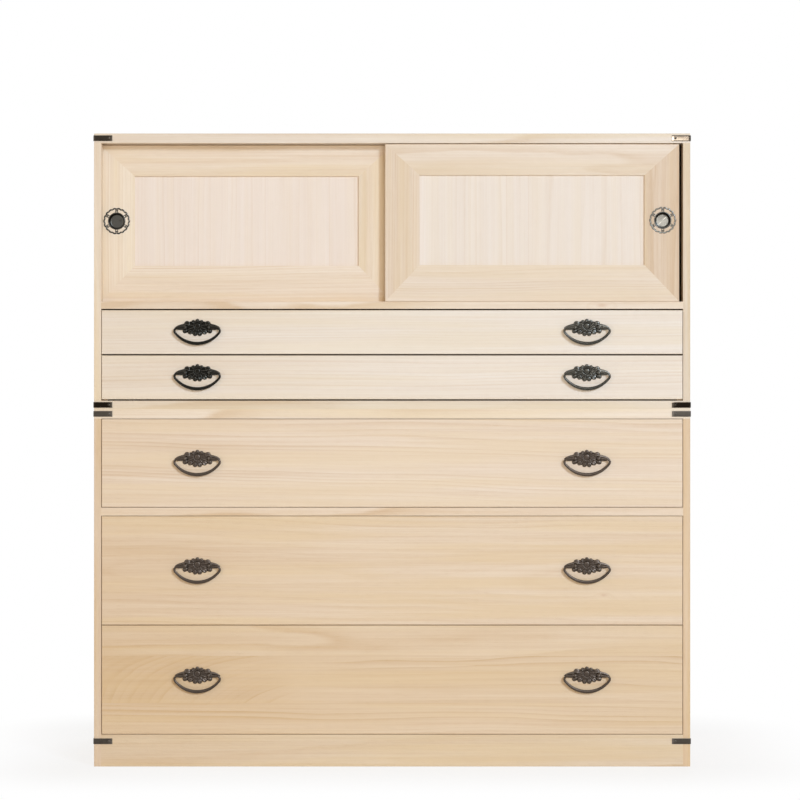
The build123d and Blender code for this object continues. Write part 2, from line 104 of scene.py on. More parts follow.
def piece(name, shells, body, finish, stands_for):
    """One object from closed shells, its faces turned outwards, riding on a body for a CAD node."""
    points = np.zeros((0, 3))
    faces = []
    for shell, quads, triangles in shells:
        inside_out = sixfold_volume(shell, quads) + sixfold_volume(shell, triangles) < 0
        order = slice(None, None, -1 if inside_out else 1)
        faces += (quads[:, order] + len(points)).tolist()
        faces += (triangles[:, order] + len(points)).tolist()
        points = np.vstack([points, shell])
    mesh = bpy.data.meshes.new(name)
    mesh.from_pydata((points * MM).tolist(), [], faces)
    mesh.shade_smooth()
    mesh.set_sharp_from_angle(angle=math.radians(CREASE))
    mesh.materials.append(finish)
    made = bpy.data.objects.new(name, mesh)
    bpy.context.scene.collection.objects.link(made)
    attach(made, body)
    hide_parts(stands_for)
    return made


def unit(vectors):
    """Vectors scaled to a length of one."""
    return vectors / np.linalg.norm(vectors, axis=-1, keepdims=True)


def smooth(values, low, high):
    """0 below low, 1 above high, and 3t^2 - 2t^3 between."""
    t = np.clip((values - low) / (high - low), 0, 1)
    return t * t * (3 - 2 * t)


def full_turn(count):
    """Angles once round, evenly spaced, in radians."""
    return np.arange(count) * 2 * math.pi / count


def tube(path, across, deep, normal, around=16, round_trip=False, squareness=1.0):
    """A section carried along a path: across is its half size square to the normal, deep along it.

    The section is |cos|^k, |sin|^k with the signs of cos and sin, so k = 1 is an ellipse and a
    smaller k is squarer.
    """
    if round_trip:
        tangent = unit(np.roll(path, -1, axis=0) - np.roll(path, 1, axis=0))
    else:
        tangent = unit(np.gradient(path, axis=0))
    sideways = unit(np.cross(np.asarray(normal, float), tangent))
    up = np.cross(tangent, sideways)
    turn = full_turn(around)
    cosine = np.sign(np.cos(turn)) * np.abs(np.cos(turn)) ** squareness
    sine = np.sign(np.sin(turn)) * np.abs(np.sin(turn)) ** squareness
    across = np.broadcast_to(across, len(path))[:, None, None]
    deep = np.broadcast_to(deep, len(path))[:, None, None]
    offset = across * cosine[None, :, None] * sideways[:, None] + deep * sine[None, :, None] * up[:, None]
    return loft(path[:, None] + offset, round_trip)


def turned(profile, centre, axis, around=48):
    """A profile of (radius, height) points turned about an axis through centre."""
    radius, height = np.asarray(profile, float).T
    axis = unit(np.asarray(axis, float))
    level = unit(np.cross(axis, (0.31, 0.47, 0.83)))
    upright = np.cross(axis, level)
    turn = full_turn(around)
    spoke = np.cos(turn)[:, None] * level + np.sin(turn)[:, None] * upright
    return loft(centre + radius[:, None, None] * spoke + height[:, None, None] * axis)


def dome(centre, axis, radius, height, sunk):
    """A low round head on a stub that goes in by sunk: its height falls off as a circle's."""
    rise = np.linspace(0.06, 0.5 * math.pi, 7)
    head = np.stack([radius * np.sin(rise), height * np.cos(rise)], axis=1)
    return turned(np.vstack([head, [(radius, -sunk), (0.1 * radius, -sunk)]]), centre, axis, around=20)


def arc(centre, radius, start, end, count=12):
    """Points on a circle in the plane, between two angles in degrees."""
    turn = np.radians(np.linspace(start, end, count))
    return np.stack([centre[0] + radius * np.cos(turn), centre[1] + radius * np.sin(turn)], axis=1)


def evenly(points, count):
    """The same line through count points, evenly spaced along it."""
    length = np.concatenate([[0], np.cumsum(np.linalg.norm(np.diff(points, axis=0), axis=1))])
    steps = np.linspace(0, length[-1], count)
    return np.stack([np.interp(steps, length, column) for column in points.T], axis=1)


# ---------------------------------------------------------------- materials
# a surface's bend is 0.5 where it is flat. These are the bends where a hollow is deepest, where it
# begins, where a ridge begins and where it is highest
BOLD_BENDS = (0.45, 0.495, 0.505, 0.54)
FINE_BENDS = (0.48, 0.4985, 0.5015, 0.518)


def operator(operation, swapped=False):
    """A method that does one Math operation on a value and another value or number."""

    def apply(self, other):
        values = (other, self) if swapped else (self, other)
        return self.finish.math(operation, *values)

    return apply


class Value:
    """One output of a finish's nodes. Arithmetic on it adds Math nodes."""

    def __init__(self, finish, socket):
        self.finish = finish
        self.socket = socket

    def other(self, name):
        """Another output of the same node."""
        return Value(self.finish, self.socket.node.outputs[name])

    __add__ = __radd__ = operator("ADD")
    __sub__ = operator("SUBTRACT")
    __rsub__ = operator("SUBTRACT", swapped=True)
    __mul__ = __rmul__ = operator("MULTIPLY")
    __truediv__ = operator("DIVIDE")
    __pow__ = operator("POWER")
    __gt__ = operator("GREATER_THAN")
    __lt__ = operator("LESS_THAN")


class Finish:
    """A material under construction."""

    def __init__(self, name):
        self.material = bpy.data.materials.new(name)
        self.material.use_nodes = True
        self.tree = self.material.node_tree
        self.tree.nodes.clear()

    def node(self, kind, settings=None, sockets=None, output=0):
        """Add a node with its own settings, then the values or links of its inputs."""
        made = self.tree.nodes.new(kind)
        for key, value in (settings or {}).items():
            setattr(made, key, value)
        for key, value in (sockets or {}).items():
            if isinstance(value, Value):
                self.tree.links.new(value.socket, made.inputs[key])
            else:
                made.inputs[key].default_value = value
        return Value(self, made.outputs[output])

    def math(self, operation, *values):
        """One Math node."""
        return self.node("ShaderNodeMath", {"operation": operation}, dict(enumerate(values)))

    def vector(self, *parts):
        """Three numbers as one vector."""
        return self.node("ShaderNodeCombineXYZ", None, dict(enumerate(parts)))

    def place(self):
        """The X, Y and Z of the point, in metres."""
        where = self.node("ShaderNodeTexCoord", output="Object")
        x = self.node("ShaderNodeSeparateXYZ", None, {0: where})
        return x, x.other("Y"), x.other("Z")

    def facing(self, axis):
        """How far the surface looks along an axis: 1 straight along it, -1 straight against it."""
        normal = self.node("ShaderNodeTexCoord", output="Normal")
        return self.node("ShaderNodeSeparateXYZ", None, {0: normal}, output=axis)

    def noise(self, x, y, z, detail=2.0, roughness=0.5):
        """Smooth noise of about 0 to 1, in cells of one unit."""
        sockets = {"Vector": self.vector(x, y, z), "Scale": 1.0}
        sockets.update(Detail=detail, Roughness=roughness)
        return self.node("ShaderNodeTexNoise", None, sockets)

    def chance(self, value):
        """A random number of 0 to 1 for each whole number."""
        return self.node("ShaderNodeTexWhiteNoise", {"noise_dimensions": "1D"}, {"W": value})

    def ease(self, value, low, high):
        """0 at low, 1 at high, smooth between."""
        sockets = {"Value": value, "From Min": low, "From Max": high}
        return self.node("ShaderNodeMapRange", {"interpolation_type": "SMOOTHSTEP"}, sockets)

    def mix(self, factor, first, second):
        """A colour between two. The node's colours are its sockets 6 and 7, and its output 2."""
        sockets = {0: factor, 6: first, 7: second}
        return self.node("ShaderNodeMix", {"data_type": "RGBA"}, sockets, output=2)

    def surface(self, colour, roughness, height=None, relief=0.0, **constants):
        """Close the material: a Principled shader with a bump of relief millimetres."""
        sockets = {"Base Color": colour, "Roughness": roughness}
        if height is not None:
            bump = {"Height": height, "Strength": 1.0, "Distance": relief * MM}
            sockets["Normal"] = self.node("ShaderNodeBump", None, bump)
        sockets.update({key.replace("_", " "): value for key, value in constants.items()})
        shader = self.node("ShaderNodeBsdfPrincipled", None, sockets)
        self.node_output(shader)
        return self.material

    def node_output(self, shader):
        """Lead a shader to the material's output."""
        end = self.tree.nodes.new("ShaderNodeOutputMaterial")
        self.tree.links.new(shader.socket, end.inputs["Surface"])


def tint(red, green, blue):
    """A colour from its 0 to 255 parts as a screen shows them."""
    parts = np.array([red, green, blue]) / 255
    linear = np.where(parts <= 0.04045, parts / 12.92, ((parts + 0.055) / 1.055) ** 2.4)
    return (*linear.tolist(), 1.0)


def shades(red, green, blue):
    """The palest and the deepest colour in a board whose usual colour is given."""
    usual = np.array([red, green, blue])
    return tint(*(usual + (8, 11, 14))), tint(*(usual - (13, 21, 31)))


PATCH_FADE = 60  # how far from the end of a strip let in its rings fade out


def wood(
    name,
    along,
    usual,
    middle=(0, 0, 0),
    pith=(60, 90),
    lean=(0, 0),
    ring=5,
    contrast=1.0,
    wander=8,
    strips=(),
    patch=None,
    knots=(),
    sun=0.0,
    seed=0,
):
    """Planed paulownia sawn from a log, so that its grain agrees on every face of a board.

    A point's distance from the pith gives its growth ring. Each ring starts with a dark line that
    fades outwards. All sizes are in millimetres: middle is the board's middle, pith is how far the
    log's centre lies from it along the two axes across the grain, and lean is how much it shifts
    per metre of length. wander is how far the rings stray. strips are the boards glued side by
    side after the first, each as the place where it starts along the width, how far its pith is
    shifted, and how much deeper its tone is. patch is a strip let in between (low, high) along
    the grain and (low, high) across it, with its own pith and lean. knots are small pins of brown
    wood, each as its place along and across the grain and its radius. sun is how
    much deeper the wood is painted towards the left end of the chest: painted shade, for the
    weaker light there.
    """
    finish = Finish(name)
    axes = finish.place()
    order = "XYZ".index(along)
    shares = [(axis - centre * MM) for axis, centre in zip(axes, middle)]
    length = shares.pop(order)
    first, second = shares
    width = first if along == "Z" else second
    log = [pith[0] * MM, pith[1] * MM, lean[0] * MM, lean[1] * MM]
    tone = 0.0
    number = float(seed)
    seam = 0.0
    calm = 0.0
    before = (0, 0)
    for place, shift, deeper in strips:
        beyond = width > place * MM
        log[0] = log[0] + beyond * ((shift - before[0]) * MM)
        log[1] = log[1] + beyond * ((shift - before[0]) * 0.6 * MM)
        tone = tone + beyond * (deeper - before[1])
        number = number + beyond
        seam = seam + finish.math("COMPARE", width, place * MM, 0.3 * MM)
        before = (shift, deeper)
    if patch:
        (low, high), (under, over), own_pith, own_lean, deeper = patch
        between = (width > under * MM) * (width < over * MM)
        inside = between * (length > low * MM) * (length < high * MM)
        log = [value + inside * (new * MM - value) for value, new in zip(log, own_pith + own_lean)]
        from_end = (length - high * MM) / (PATCH_FADE * MM)
        calm = finish.math("EXPONENT", from_end * from_end * -1) * between
        tone = tone + inside * (1 - calm) * deeper

    slow = finish.noise(length * 2.1 + number * 3.7, first * 8, second * 8, detail=1.5)
    quick = finish.noise(length * 9, first * 40 + number * 5.1, second * 40, detail=2)
    across = first - log[0] - length * log[2]
    upward = second - log[1] - length * log[3]
    radius = finish.math("SQRT", across * across + upward * upward)
    radius = radius + (slow - 0.5) * (2.4 * wander * MM) + (quick - 0.5) * (0.25 * wander * MM)
    brown = 0.0
    for place, offset, size in knots:
        run = (length - place * MM) / (2.6 * size * MM)
        rise = (width - offset * MM) / (size * MM)
        near = run * run + rise * rise
        radius = radius + finish.math("EXPONENT", near * -0.35) * (2.2 * size * MM)
        brown = brown + finish.math("EXPONENT", near * -1.6)
    uneven = finish.noise(radius * 28, 0.0, number * 1.3, detail=1)
    rings = radius / (ring * MM) + uneven * 3.5
    within = finish.math("FRACT", rings)
    year = finish.math("FLOOR", rings)
    line = finish.ease(within, 0.0, 0.16) * (1 - within) ** 3.0 * (1 - calm)
    strength = 0.25 + finish.chance(year + 7.5) ** 4.0 * 1.2

    streak = finish.noise(length * 4, first * 420, second * 420, detail=3, roughness=0.6)
    stripe = finish.noise(length * 2.4 + number * 1.9, first * 130, second * 130, detail=2)
    fibre = finish.noise(length * 26, first * 1900, second * 1900, detail=1)
    pores = finish.noise(length * 60, first * 1700, second * 1700, detail=0)
    pores = finish.ease(pores, 0.62, 0.74)
    cloud = finish.noise(length * 1.5 + number * 9.3, first * 9, second * 9, detail=3)
    band = finish.noise(length * 0.8, radius * 75, number * 2.9, detail=3)
    hue = finish.noise(length * 1.8 + number * 4.1, first * 45, second * 45 + 5.0, detail=3)

    band = (band - 0.5) * 1.2 * (1 - calm)
    figure = line * strength * 1.1 + band + (cloud - 0.5) * 0.55 + (stripe - 0.5) * 0.9
    figure = figure + (streak - 0.5) * 1.2 + (fibre - 0.5) * 0.3 + pores * (0.12 + line * 0.25)
    if patch:
        figure = figure * (1 - inside * 0.3)
    pale, deep = shades(*usual)
    grain = figure * contrast + tone + 0.2
    # Painted shade: the wood is made deeper towards the left end of the chest, for the weaker light there.
    if sun:
        grain = grain + (1 - finish.ease(axes[0], -0.52, 0.02)) * sun
    colour = finish.mix(grain, pale, deep)
    honey = tint(usual[0] + 2, usual[1] - 1, usual[2] - 14)
    colour = finish.mix(finish.ease(hue, 0.4, 0.68) * (0.8 * contrast), colour, honey)
    if strips:
        colour = finish.mix(seam * 0.4, colour, deep)
    if knots:
        colour = finish.mix(brown * 0.25, colour, tint(196, 140, 96))
    end_grain = finish.ease(finish.math("ABSOLUTE", finish.facing(along)), 0.5, 0.9)
    darker = tuple(0.66 * part for part in deep[:3]) + (1.0,)
    colour = finish.mix(end_grain * (0.25 + fibre * 0.3), colour, darker)
    roughness = 0.48 + streak * 0.16 + end_grain * 0.2
    height = fibre * 0.5 + streak * 0.35 - pores * 0.6 - line * 0.2
    return finish.surface(colour, roughness, height, relief=0.12)


def iron(
    name,
    hollows,
    body,
    ridges,
    roughness,
    relief=0.03,
    ridge_wear_and_highlight=1.0,
    upper=0.0,
    painted_right_sheen=0.0,
    paler=0.0,
    side_shade_and_dulling=0.0,
    painted_low_shade=False,
    bends=BOLD_BENDS,
):
    """Blackened iron, finely cast: darkest in its hollows, palest along its ridges.

    ridge_wear_and_highlight is how far the ridges are made paler: partly rubbed wear, partly painted
    highlight. The hollows are darker, partly blackening and partly painted shade. upper is how far
    the sides that look up are made paler, as painted light from above. painted_right_sheen is how
    much more of both there is at the right end of the chest, a painted reflection, and paler is the
    share of it that the other sides get too. side_shade_and_dulling is how dark and dull the sides
    are that don't look to the front or the back: painted shade, and rougher. With
    painted_low_shade the iron is blacker at the foot of its case: painted shade, which leaves the
    higher irons paler as a painted reflection.
    """
    finish = Finish(name)
    x, y, z = finish.place()
    mottle = finish.noise(x * 160, y * 160, z * 160, detail=3)
    cast = finish.noise(x * 1500, y * 1500, z * 1500, detail=2)
    bend = finish.node("ShaderNodeNewGeometry", output="Pointiness")
    # Painted reflection: the iron is made paler towards the right end of the chest.
    right_end_sheen = finish.ease(x, 0.0, 0.25) * painted_right_sheen
    rough = roughness + mottle * 0.08
    uneven = 0.7 + finish.ease(mottle, 0.4, 0.62) * 0.3
    # Ridges made paler: partly rubbed wear, partly painted highlight; the right-end painted reflection and
    # painted light from above join in.
    wear_and_painted_light = finish.ease(bend, *bends[2:]) * uneven * (right_end_sheen + ridge_wear_and_highlight)
    # Painted light from above: sides that look up are made paler.
    if upper:
        top_light = finish.ease(finish.facing("Z"), 0.0, 0.8) * (right_end_sheen + upper)
        wear_and_painted_light = finish.math("MAXIMUM", wear_and_painted_light, top_light)
        # Painted reflection: towards the right end the body is paler as well.
        body = finish.mix(right_end_sheen * paler, body, ridges)
    # Painted shade: sides that look neither to the front nor to the back are darker, and rougher.
    if side_shade_and_dulling:
        sideways = 1 - finish.ease(finish.math("ABSOLUTE", finish.facing("Y")), 0.72, 0.99)
        body = finish.mix(sideways * side_shade_and_dulling, body, hollows)
        rough = rough + sideways * (0.5 * side_shade_and_dulling)
    # Painted shade: darker towards the foot of the case, so the higher irons stay paler as a painted
    # reflection.
    if painted_low_shade:
        body = finish.mix(finish.ease(z, 0.65, 1.0), hollows, body)
    # Hollows made darker: partly the iron's blackening, partly painted shade.
    sunk = 1 - finish.ease(bend, *bends[:2])
    plain = finish.mix(sunk, body, hollows)
    spotted = finish.mix(finish.ease(mottle, 0.5, 0.7) * 0.35, plain, hollows)
    colour = finish.mix(wear_and_painted_light, spotted, ridges)
    rough = rough + sunk * 0.1
    height = cast * 0.6 + mottle * 0.8
    return finish.surface(colour, rough, height, relief=relief, Metallic=1.0)


# ---------------------------------------------------------------- the wood of each board
def dress(node, finish_name, along, usual, **look):
    """Give a CAD board its own wood, its pattern centred on the board."""
    low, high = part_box(node)
    middle = tuple((np.array(low) + np.array(high)) / 2 / MM)
    face(node, wood(finish_name, along, usual, middle, **look))


def face(node, finish):
    """Give a CAD board a finish."""
    materials = frame["nodes"][node].data.materials
    materials.clear()
    materials.append(finish)


def dress_fronts():
    """The faces of trays and drawers: long level figure, darker and yellower towards the floor.

    The lowest drawer has a strip with curved figure let in at its left end.
    """
    # Painted shade: the usual colours get darker and yellower from tray_1 down to drawer_3, for light that
    # falls off towards the floor, and every face is painted deeper towards the chest's left end.
    looks = {
        "tray_1": dict(usual=(238, 225, 209), pith=(30, 210), lean=(2, 5), ring=5, contrast=0.5),
        "tray_2": dict(usual=(238, 224, 207), pith=(45, -180), lean=(6, 9), ring=6, contrast=0.5),
        "drawer_1": dict(usual=(235, 214, 190), pith=(85, 130), lean=(14, -38), ring=6, contrast=0.62),
        "drawer_2": dict(
            usual=(230, 206, 177),
            pith=(55, -10),
            lean=(-6, -22),
            ring=6,
            contrast=0.75,
            wander=12,
            knots=((355, -41, 3),),
        ),
        "drawer_3": dict(
            usual=(226, 200, 167),
            pith=(70, 60),
            lean=(10, -14),
            ring=6,
            contrast=0.62,
            wander=11,
            strips=((-39, 90, 0.05), (40, 30, 0.0)),
            patch=((-486, -139), (-39, 40), (21, -60), (350, 0), 0.2),
        ),
    }
    for seed, (box, look) in enumerate(looks.items()):
        dress(f"{box}_front", f"{box}_face_wood", "X", sun=0.35, seed=seed + 2, **look)


def dress_doors():
    """Door frames with the grain along each member, and panels of upright strips."""
    dress(
        "left_door_stiles", "left_stile_wood", "Z", (238, 220, 196),
        pith=(40, 140), lean=(6, 3), ring=4, contrast=0.6, wander=4,
        strips=((0, 260, 0.14),), seed=5,
    )
    dress(
        "right_door_stiles", "right_stile_wood", "Z", (228, 207, 183),
        pith=(60, 160), lean=(4, 6), ring=4, contrast=0.75, wander=4,
        strips=((0, 240, 0.35),), seed=9,
    )
    dress(
        "left_door_rails", "left_rail_wood", "X", (237, 218, 195),
        pith=(90, 60), lean=(3, 9), ring=5, contrast=0.7, wander=6,
        strips=((0, 190, 0.05),), seed=6,
    )
    dress(
        "right_door_rails", "right_rail_wood", "X", (234, 216, 195),
        pith=(20, 30), lean=(3, 12), ring=6, contrast=0.55, wander=12,
        strips=((0, 120, 0.0),), seed=10,
    )
    dress(
        "left_door_panel", "left_panel_wood", "Z", (239, 223, 208),
        pith=(20, 260), lean=(3, 0), ring=4.6, contrast=0.29, wander=6,
        strips=((-124, 80, 0.02), (-62, 190, -0.02), (31, 60, 0.03), (88, 140, 0.0), (139, 30, -0.02)),
        seed=7,
    )
    dress(
        "right_door_panel", "right_panel_wood", "Z", (239, 226, 212),
        pith=(20, 260), lean=(3, 0), ring=4.6, contrast=0.29, wander=6,
        strips=((-168, 90, 0.06), (-43, 200, 0.09), (-5.5, 50, 0.05), (82.5, 150, 0.1), (125, 20, 0.04)),
        seed=11,
    )


def dress_case():
    """The boards of both cases: level grain on tops, shelves and plinth, upright grain on sides."""
    # Painted shade: the lower case's sides, middle shelf and plinth get deeper colours than the boards
    # above, for light that falls off towards the floor, and the level boards are painted deeper towards the
    # chest's left end.
    level = {
        "upper_top_board": (235, 220, 202),
        "door_shelf": (236, 217, 194),
        "upper_bottom_board": (234, 218, 196),
        "lower_top_board": (241, 223, 200),
        "middle_shelf": (232, 208, 180),
        "plinth": (226, 203, 173),
    }
    for seed, (node, usual) in enumerate(level.items()):
        look = dict(pith=(150, 35), lean=(8, 6), ring=6, contrast=0.75, wander=7)
        if node == "door_shelf":
            look.update(wander=12, knots=((352, 0, 5),))
        dress(node, f"{node}_wood", "X", usual, sun=0.25, seed=seed + 11, **look)
    upright = {
        "upper_left_side": (233, 213, 188),
        "upper_right_side": (226, 207, 182),
        "lower_left_side": (221, 194, 163),
        "lower_right_side": (223, 193, 156),
    }
    for seed, (node, usual) in enumerate(upright.items()):
        look = dict(pith=(-70, 60), lean=(12, 20), ring=6, contrast=0.8, wander=12, seed=seed + 20)
        dress(node, f"{node}_wood", "Z", usual, **look)


def dress_insides():
    """Unseen and inner boards share plainer finishes, one for each direction of the grain."""
    usual = (232, 210, 182)
    plain = dict(usual=usual, ring=8, wander=14)
    across = wood("inner_wood_across", "X", pith=(130, 400), lean=(9, 6), seed=31, **plain)
    inwards = wood("inner_wood_inwards", "Y", pith=(700, 300), lean=(9, 6), seed=32, **plain)
    strips = ((190, 260, 0.1), (380, 90, -0.05), (560, 300, 0.12), (720, 40, 0.0), (880, 180, 0.06))
    backs = wood("back_panel_wood", "X", pith=(90, 500), lean=(6, 8), strips=strips, seed=33, **plain)
    for box in BOXES:
        face(f"{box}_sides", inwards)
        face(f"{box}_back", across)
        face(f"{box}_bottom", across)
    face("tray_runners", inwards)
    face("drawer_runners", inwards)
    face("lower_bottom_board", across)
    face("upper_back_panel", backs)
    face("lower_back_panel", backs)


# ---------------------------------------------------------------- handles
PETALS = [  # the middle of each round petal and its radius, on the right of the flower
    (0.0, 11.1, 3.4),
    (6.8, 9.6, 3.1),
    (17.3, 6.0, 4.9),
    (21.6, -0.8, 4.3),
    (20.8, -6.2, 4.0),
    (12.3, -7.9, 3.9),
    (3.9, -10.7, 3.9),
]
FLOWER_OVAL = (23.5, 11.6)
HEART = (0.0, 2.4)
HEART_RADIUS = 4.6
PLATE_EDGE = 0.9
EYE_SPREAD = 19.7
EYE_STAND = 6.5
EYE_RADIUS = 2.68
EYE_WALL = 0.9
EYE_HALF_WIDTH = 1.6
SHANK_RADIUS = 1.45
COLLAR = [(0.3, -2.9), (2.5, -2.9), (3.1, -2.4), (3.3, -1.2), (0.3, -1.2)]
LEG_BEND = 1.2  # the radius on which a post's legs turn out behind the board
LEG_GAP = 0.65
LEG_RISE = 0.55
LEG_REACH = (1.6, 6.6)
LEG_PRESS = 0.06  # how much nearer to the board a leg comes, for each millimetre of its length
FRONT_THICKNESS = 20


def both_sides(spots):
    """Spots on the right of a middle line and their mirror images."""
    spots = np.array(spots)
    return np.vstack([spots, spots * (-1, 1, 1)])


def flower_reach(turn):
    """The flower's outline: in each direction, the furthest of its oval and its petals' far sides."""
    x, z, radius = both_sides(PETALS).T[:, :, None]
    ray_x = np.cos(turn)
    ray_z = np.sin(turn)
    off = np.abs(x * ray_z - z * ray_x)
    far = x * ray_x + z * ray_z + np.sqrt(np.clip(radius**2 - off**2, 0, None))
    far = np.where(off < radius, far, 0)
    oval = 1 / np.hypot(ray_x / FLOWER_OVAL[0], ray_z / FLOWER_OVAL[1])
    return np.maximum(oval, far.max(axis=0))


def flower_relief(x, z):
    """The height of the cast flower: domed petals, veins that fan out from a round heart."""
    petal_x, petal_z, radius = both_sides(PETALS).T[:, :, None, None]
    from_petal = np.hypot(x - petal_x, z - petal_z) / radius
    domes = np.sqrt(np.clip(1 - from_petal**2, 0, None)).max(axis=0)
    from_heart = np.hypot(x - HEART[0], z - HEART[1])
    turn = np.arctan2(x - HEART[0], z - HEART[1])
    veins = 0.5 + 0.5 * np.cos(26 * turn)
    folds = (0.5 + 0.5 * np.cos(13 * turn)) ** 2
    fan = smooth(from_heart, HEART_RADIUS, HEART_RADIUS + 3)
    moat = np.exp(-(((from_heart - HEART_RADIUS - 0.4) / 0.6) ** 2))
    heart = np.sqrt(np.clip(1 - (from_heart / HEART_RADIUS) ** 2, 0, None))
    crown = 1 - smooth(from_heart, 8, 24)
    height = PLATE_EDGE + 0.9 * domes + fan * (0.15 * veins + 0.75 * folds) + 0.7 * crown
    return height + 0.75 * heart - 0.35 * moat


def flower(centre):
    """The cast flower: rings from its heart out to its petalled edge, over the edge and flat behind."""
    turn = full_turn(264)
    reach = flower_reach(turn)
    share = np.concatenate([np.linspace(0.02, 0.95, 34), [0.985, 1.0]])[:, None]
    x = share * reach * np.cos(turn)
    z = share * reach * np.sin(turn)
    edge = 1 - 0.55 * smooth(share, 0.95, 1.0)
    front_side = np.stack([x, -flower_relief(x, z) * edge, z], axis=-1)
    back = front_side[[-1, 0]] * (1, 0, 1)
    return loft(np.vstack([front_side, back]) + centre)


def leaf(centre, hand):
    """A pointed leaf beside the flower, its section a low dome with a groove along the middle."""
    along = 17 + 21.4 * np.sin(np.linspace(0, 0.5 * math.pi, 30))
    t = (along - along[0]) / (along[-1] - along[0])
    middle = 1.9 * (1 - t) ** 1.3 - 0.9 * t
    half = 6.0 * np.clip(1 - 0.42 * t - 0.58 * t**6, 0.0, None) + 0.1
    turn = full_turn(28)
    up = np.cos(turn)[None, :]
    out = np.clip(np.sin(turn), 0, None)[None, :]
    groove = 0.35 * np.exp(-((up / 0.16) ** 2))
    high = (0.5 + 1.15 * (1 - t) ** 0.5)[:, None] * (out**0.7 - groove * out)
    x = np.broadcast_to(hand * along[:, None], high.shape)
    rings = np.stack([x, -high, middle[:, None] + half[:, None] * up], axis=-1)
    return loft(rings + centre)


def eye_post(centre):
    """A split pin: its eye holds the bail, its shank goes through the board, its legs spread behind."""
    turn = full_turn(28)
    eye = np.stack([0 * turn, EYE_RADIUS * np.cos(turn), EYE_RADIUS * np.sin(turn)], axis=1)
    ring = tube(eye + (0, -EYE_STAND, 0) + centre, EYE_WALL, EYE_HALF_WIDTH, (1, 0, 0), 14, True, 0.75)
    depth = np.linspace(-EYE_STAND + EYE_RADIUS + 0.2, FRONT_THICKNESS - 0.2, 12)
    shank = np.stack([0 * depth, depth, 0 * depth], axis=1)
    shells = [ring, tube(shank + centre, SHANK_RADIUS, SHANK_RADIUS, (1, 0, 0), 16)]
    shells.append(turned(COLLAR, centre, (0, 1, 0), around=24))
    for hand in HANDS:
        bend = arc((0, hand * LEG_BEND), LEG_BEND, -90 * hand, 0, 6)
        bend_depth = FRONT_THICKNESS - LEG_GAP - LEG_BEND + bend[:, 0]
        leg = np.stack([0 * bend_depth, bend_depth, bend[:, 1]], axis=1)
        run = np.linspace(*LEG_REACH, 6)
        depth = FRONT_THICKNESS + LEG_RISE - LEG_PRESS * (run - LEG_REACH[0])
        path = np.vstack([leg, np.stack([0 * run, depth, hand * run], axis=1)])
        wide = np.interp(np.arange(len(path)), (0, len(path) - 3, len(path) - 1), (1.1, 1.1, 0.4))
        shells.append(tube(path + centre, 0.5, wide, (1, 0, 0), 10, squareness=0.8))
    return shells


BAIL_HALF_WIDTH = 38
BAIL_DROP = 27
BAIL_CORNER = 5
BAIL_SIDE = 8
PIN_END = 16.5
DROOP = 1.1


def bail_line():
    """A bail's centre line from pin to pin: out, round a tight corner, and a long arc below.

    The belly's circle touches the side's circle, which gives its radius and where they meet.
    """
    depth = BAIL_DROP - BAIL_CORNER
    side_x = BAIL_HALF_WIDTH - BAIL_SIDE
    belly = (side_x**2 + depth**2 - BAIL_SIDE**2) / (2 * (depth - BAIL_SIDE))
    rise = belly - BAIL_DROP
    turn = math.degrees(math.atan2(rise + BAIL_CORNER, side_x))
    corner_x = BAIL_HALF_WIDTH - BAIL_CORNER
    pin = np.stack([np.linspace(PIN_END, corner_x, 12), np.zeros(12)], axis=1)
    corner = arc((corner_x, -BAIL_CORNER), BAIL_CORNER, 90, 0)
    side = arc((side_x, -BAIL_CORNER), BAIL_SIDE, 0, -turn)
    half = np.vstack([pin, corner[1:], side[1:], arc((0, rise), belly, -turn, -90, 16)[1:]])
    half = evenly(half, 56)
    droop = smooth(half[:, 0], EYE_SPREAD + 3, corner_x) * smooth(half[:, 1], -12, -2)
    half[:, 1] -= DROOP * droop
    return np.vstack([half, half[-2::-1] * (-1, 1)])


def bail(centre):
    """A bail of cast iron, thin at its pins and sides and swelling to its belly."""
    line = bail_line()
    path = np.stack([line[:, 0], 0 * line[:, 0], line[:, 1]], axis=1)
    swell = np.clip(-line[:, 1] / BAIL_DROP, 0, 1) ** 2
    step = np.arange(len(line))
    from_end = np.minimum(1, np.minimum(step, step[::-1]) / 2)
    ends = np.sqrt(1 - (1 - from_end) ** 2 * 0.8)
    across = (1.85 + 0.95 * swell) * ends
    deep = (1.5 + 0.15 * swell) * ends
    return tube(path + centre, across, deep, (0, 1, 0), 18)


def dress_handles(plate_iron, bail_iron):
    """Each tray and drawer gets two flower plates with their posts, and two bails."""
    for box in BOXES:
        finish_set = "dark" if box.startswith("tray") else "brown"
        shells = []
        for side in SIDES:
            name = f"{box}_{side}_bail"
            x, _, z = pivots[name]
            on_face = np.array([x, front, z])
            shells.append(flower(on_face))
            shells += [leaf(on_face, hand) for hand in HANDS]
            for hand in HANDS:
                shells += eye_post(on_face + (hand * EYE_SPREAD, 0, 0))
            made = piece(f"{name}_cast", [bail(pivots[name])], name, bail_iron[finish_set], name)
        finish = plate_iron[finish_set]
        plates = piece(f"{box}_flower_plates", shells, box, finish, f"{box}_handle_plates")


# ---------------------------------------------------------------- door pulls
PULL_PLATE = 1.2
BOWL_RADIUS = 12.9
BOWL_DEPTH = 7.4
BOWL_BACK = 8.3
BOWL_FILLET = 3
LIP_RADIUS = 0.85
RIM_RADIUS = 20.0
SCALLOPS = 18
SCALLOP_DEPTH = 1.25
SPOKES = 6
SPOKE_REACH = (14.6, 20.6)


